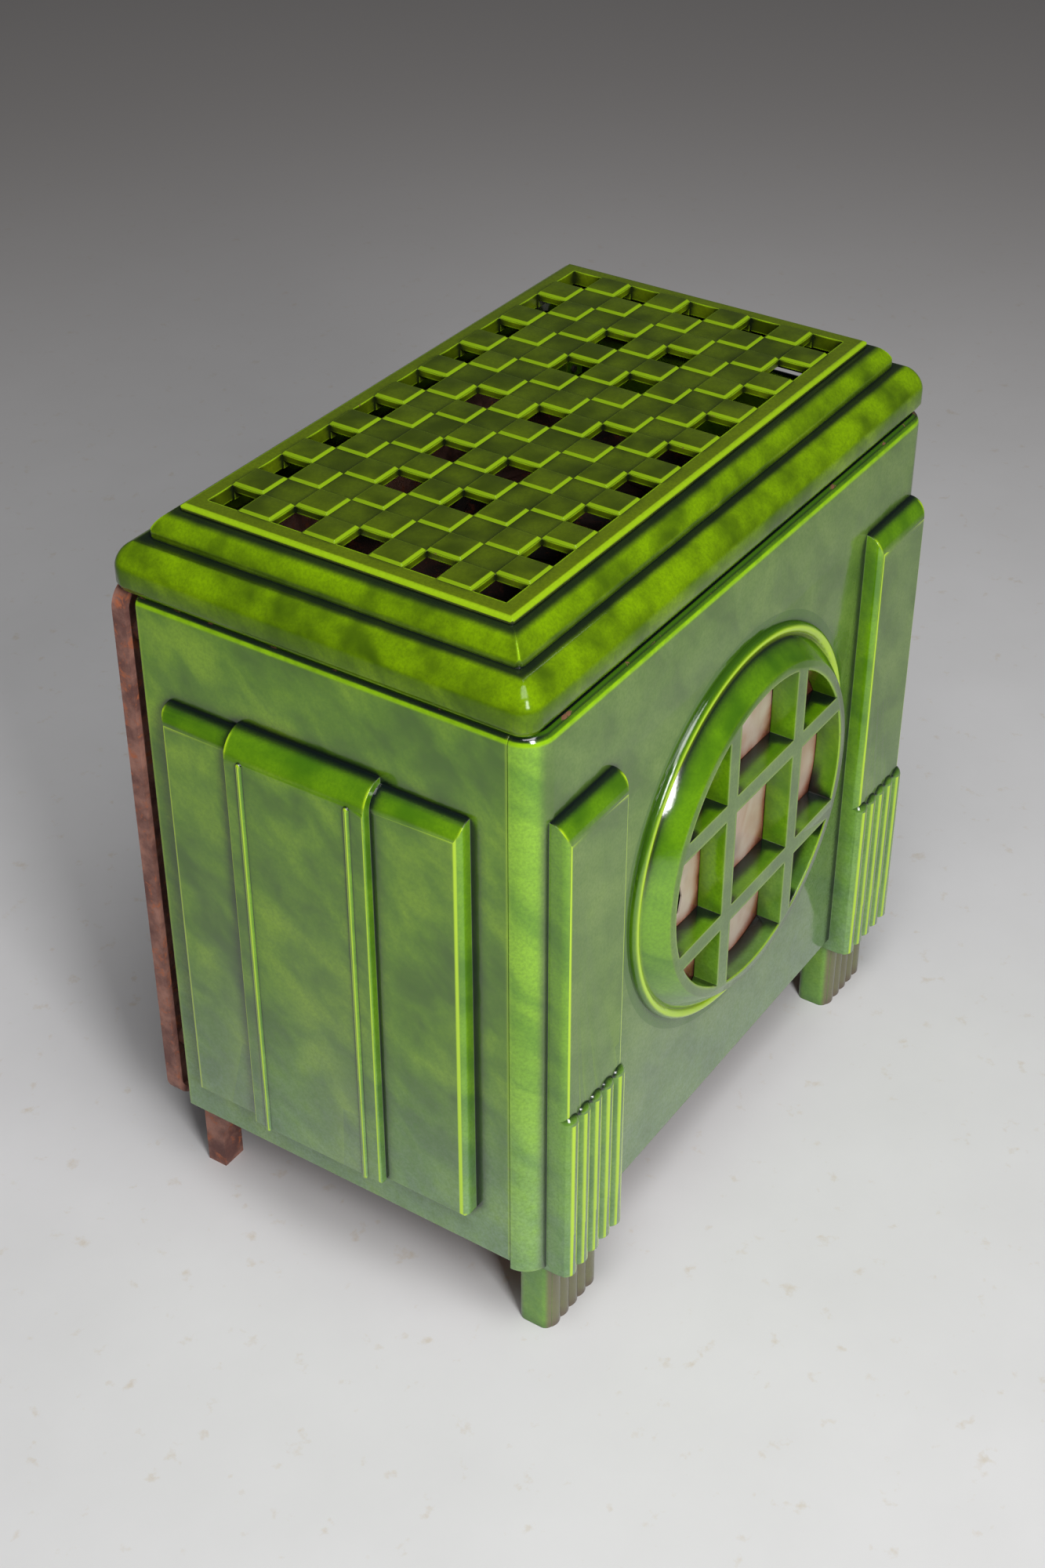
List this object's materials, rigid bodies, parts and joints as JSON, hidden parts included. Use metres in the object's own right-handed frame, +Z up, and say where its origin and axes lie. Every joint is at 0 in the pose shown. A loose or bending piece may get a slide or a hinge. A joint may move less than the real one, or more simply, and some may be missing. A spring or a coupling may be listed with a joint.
{
  "type": "wood stove",
  "caption": "Enamelled cast iron heating stove: box casing, hinged openwork lid on a rolled cornice, round mica window, fluted pilasters, rear flue spigot.",
  "frame": {"origin": "on the floor, under the middle of the stove's whole width and depth", "axes": "+Z up, -Y towards the side with the round window, +Y towards the flue, +X to the right of someone facing the window"},
  "size_m": [0.6004, 0.4294, 0.6103],
  "materials": {
    "enamel": "gloss",
    "back_iron": "matte",
    "sooty_iron": "matte",
    "worn_steel": "satin",
    "mica": "gloss",
    "firebrick": "matte",
    "rope": "matte",
    "black_knob": "satin"
  },
  "bodies": {
    "casing": {"front_panel": "enamel", "front_feet": "enamel", "left_side_panel": "enamel", "right_side_panel": "enamel", "back_casting": "back_iron", "rear_legs": "back_iron", "base_plate": "back_iron", "hinge_pins": "worn_steel", "corner_bolts": "worn_steel", "back_bolts": "worn_steel", "base_screws": "worn_steel", "mica_sheets": "mica", "mica_ring": "sooty_iron", "mica_clips": "worn_steel", "mica_screws": "worn_steel", "window_throat": "sooty_iron", "fire_chamber": "sooty_iron", "rear_firebrick": "firebrick", "side_firebricks": "firebrick", "fire_guard": "sooty_iron", "baffle": "sooty_iron", "rope_seal": "rope", "cooking_plate": "sooty_iron", "cover_pivot": "worn_steel", "grate_frame": "sooty_iron", "ash_box": "sooty_iron", "flue_spigot": "sooty_iron", "spigot_bolts": "worn_steel"},
    "lid": {"cornice": "enamel", "top_grille": "enamel", "grille_screws": "worn_steel"},
    "feed_cover": {"feed_cover": "sooty_iron", "cover_knob": "sooty_iron"},
    "shaker": {"shaker_grate": "sooty_iron", "shaker_rod": "worn_steel", "shaker_knob": "black_knob"},
    "ash_drawer": {"ash_pan": "worn_steel", "pan_front": "worn_steel", "pan_handle": "worn_steel"},
    "air_slide": {"air_slide": "worn_steel", "air_knob": "black_knob"},
    "damper": {"damper_disc": "sooty_iron", "damper_spindle": "worn_steel", "damper_lever": "black_knob"}
  },
  "joints": [
    {"name": "lid_hinge", "type": "hinge", "parent": "casing", "child": "lid", "pos_m": [0, 0.1647, 0.5475], "axis": [-1, 0, 0], "range_deg": [0, 95]},
    {"name": "feed_cover_swivel", "type": "hinge", "parent": "casing", "child": "feed_cover", "pos_m": [0.098, 0.0056, 0.528], "axis": [0, 0, 1], "range_deg": [0, 100]},
    {"name": "grate_shake", "type": "slide", "parent": "casing", "child": "shaker", "axis": [0, -1, 0], "range_m": [0, 0.02]},
    {"name": "ash_drawer_slide", "type": "slide", "parent": "casing", "child": "ash_drawer", "axis": [0, -1, 0], "range_m": [0, 0.17]},
    {"name": "air_slide_slide", "type": "slide", "parent": "ash_drawer", "child": "air_slide", "axis": [1, 0, 0], "range_m": [0, 0.015]},
    {"name": "damper_turn", "type": "hinge", "parent": "casing", "child": "damper", "pos_m": [0, 0.1667, 0.425], "axis": [1, 0, 0], "range_deg": [0, 90]}
  ]
}
